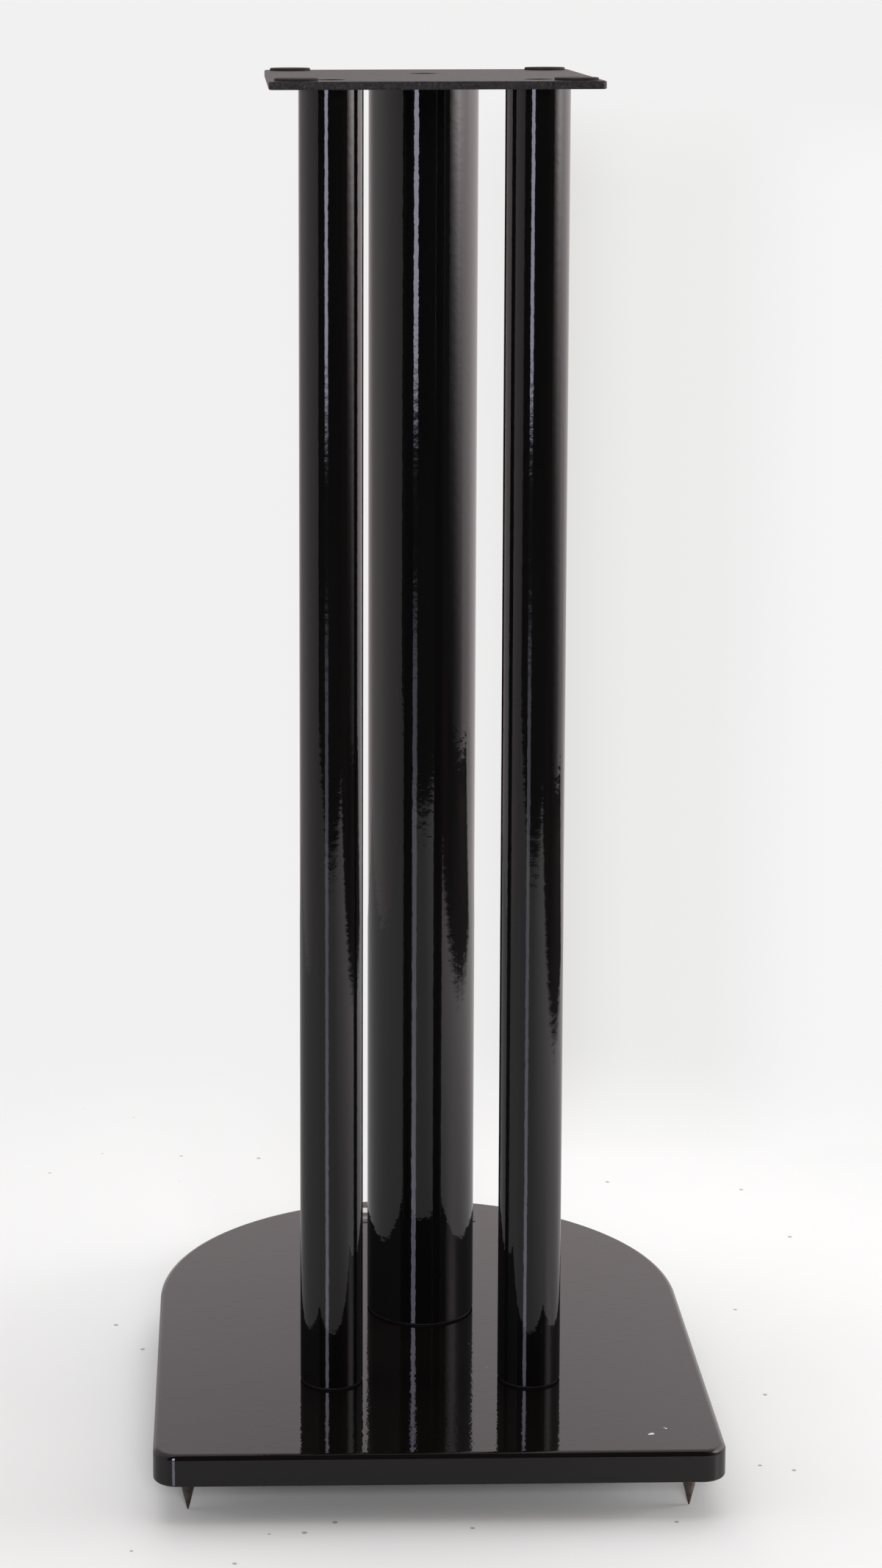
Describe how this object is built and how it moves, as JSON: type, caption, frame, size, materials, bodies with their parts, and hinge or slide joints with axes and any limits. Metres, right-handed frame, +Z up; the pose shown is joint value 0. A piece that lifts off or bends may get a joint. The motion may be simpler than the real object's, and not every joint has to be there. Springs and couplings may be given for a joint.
{
  "type": "speaker stand",
  "caption": "Floor stand for a loudspeaker: a D-shaped gloss base on levelling spikes, slim front columns, a thick rear column and a small steel top plate with round pads.",
  "frame": {"origin": "on the floor under the middle of the base board, at the level of the spike tips", "axes": "+Z up, +X to the right seen from the front, -Y towards the front (the straight edge of the base)"},
  "size_m": [0.282, 0.348, 0.7014],
  "materials": {
    "base_lacquer": "fibreboard under black lacquer, polished to a high gloss",
    "plate_powder_coat": "fine-textured black powder coat",
    "label_foil": "printed film with plain bars, satin",
    "column_enamel": "smooth black enamel, high gloss",
    "plug_steel": "turned, oiled",
    "gasket_rubber": "matt",
    "screw_black_oxide": "black oxide, oiled",
    "fastener_zinc": "bright zinc plate",
    "pad_rubber": "matt",
    "nut_steel": "black oxide",
    "insert_brass": "machined",
    "spike_steel": "black oxide, turned"
  },
  "bodies": {
    "frame": {"base_board": "base_lacquer", "top_plate": "plate_powder_coat", "rear_label": "label_foil", "column_front_left": "column_enamel", "top_plug_front_left": "plug_steel", "foot_plug_front_left": "plug_steel", "foot_gasket_front_left": "gasket_rubber", "column_front_right": "column_enamel", "top_plug_front_right": "plug_steel", "foot_plug_front_right": "plug_steel", "foot_gasket_front_right": "gasket_rubber", "column_rear": "column_enamel", "top_plug_rear": "plug_steel", "foot_plug_rear": "plug_steel", "foot_gasket_rear": "gasket_rubber", "plate_screws": "screw_black_oxide", "base_washers": "fastener_zinc", "base_bolts": "fastener_zinc", "pad_front_left": "pad_rubber", "pad_front_right": "pad_rubber", "pad_rear_left": "pad_rubber", "pad_rear_right": "pad_rubber", "lock_nut_front_left": "nut_steel", "spike_insert_front_left": "insert_brass", "lock_nut_front_right": "nut_steel", "spike_insert_front_right": "insert_brass", "lock_nut_rear_left": "nut_steel", "spike_insert_rear_left": "insert_brass", "lock_nut_rear_right": "nut_steel", "spike_insert_rear_right": "insert_brass"},
    "spike_front_left": {"spike_front_left": "spike_steel"},
    "spike_front_right": {"spike_front_right": "spike_steel"},
    "spike_rear_left": {"spike_rear_left": "spike_steel"},
    "spike_rear_right": {"spike_rear_right": "spike_steel"}
  },
  "joints": [
    {"name": "level_front_left", "type": "slide", "parent": "frame", "child": "spike_front_left", "axis": [0, 0, -1], "range_m": [0, 0.005]},
    {"name": "level_front_right", "type": "slide", "parent": "frame", "child": "spike_front_right", "axis": [0, 0, -1], "range_m": [0, 0.005]},
    {"name": "level_rear_left", "type": "slide", "parent": "frame", "child": "spike_rear_left", "axis": [0, 0, -1], "range_m": [0, 0.005]},
    {"name": "level_rear_right", "type": "slide", "parent": "frame", "child": "spike_rear_right", "axis": [0, 0, -1], "range_m": [0, 0.005]}
  ]
}
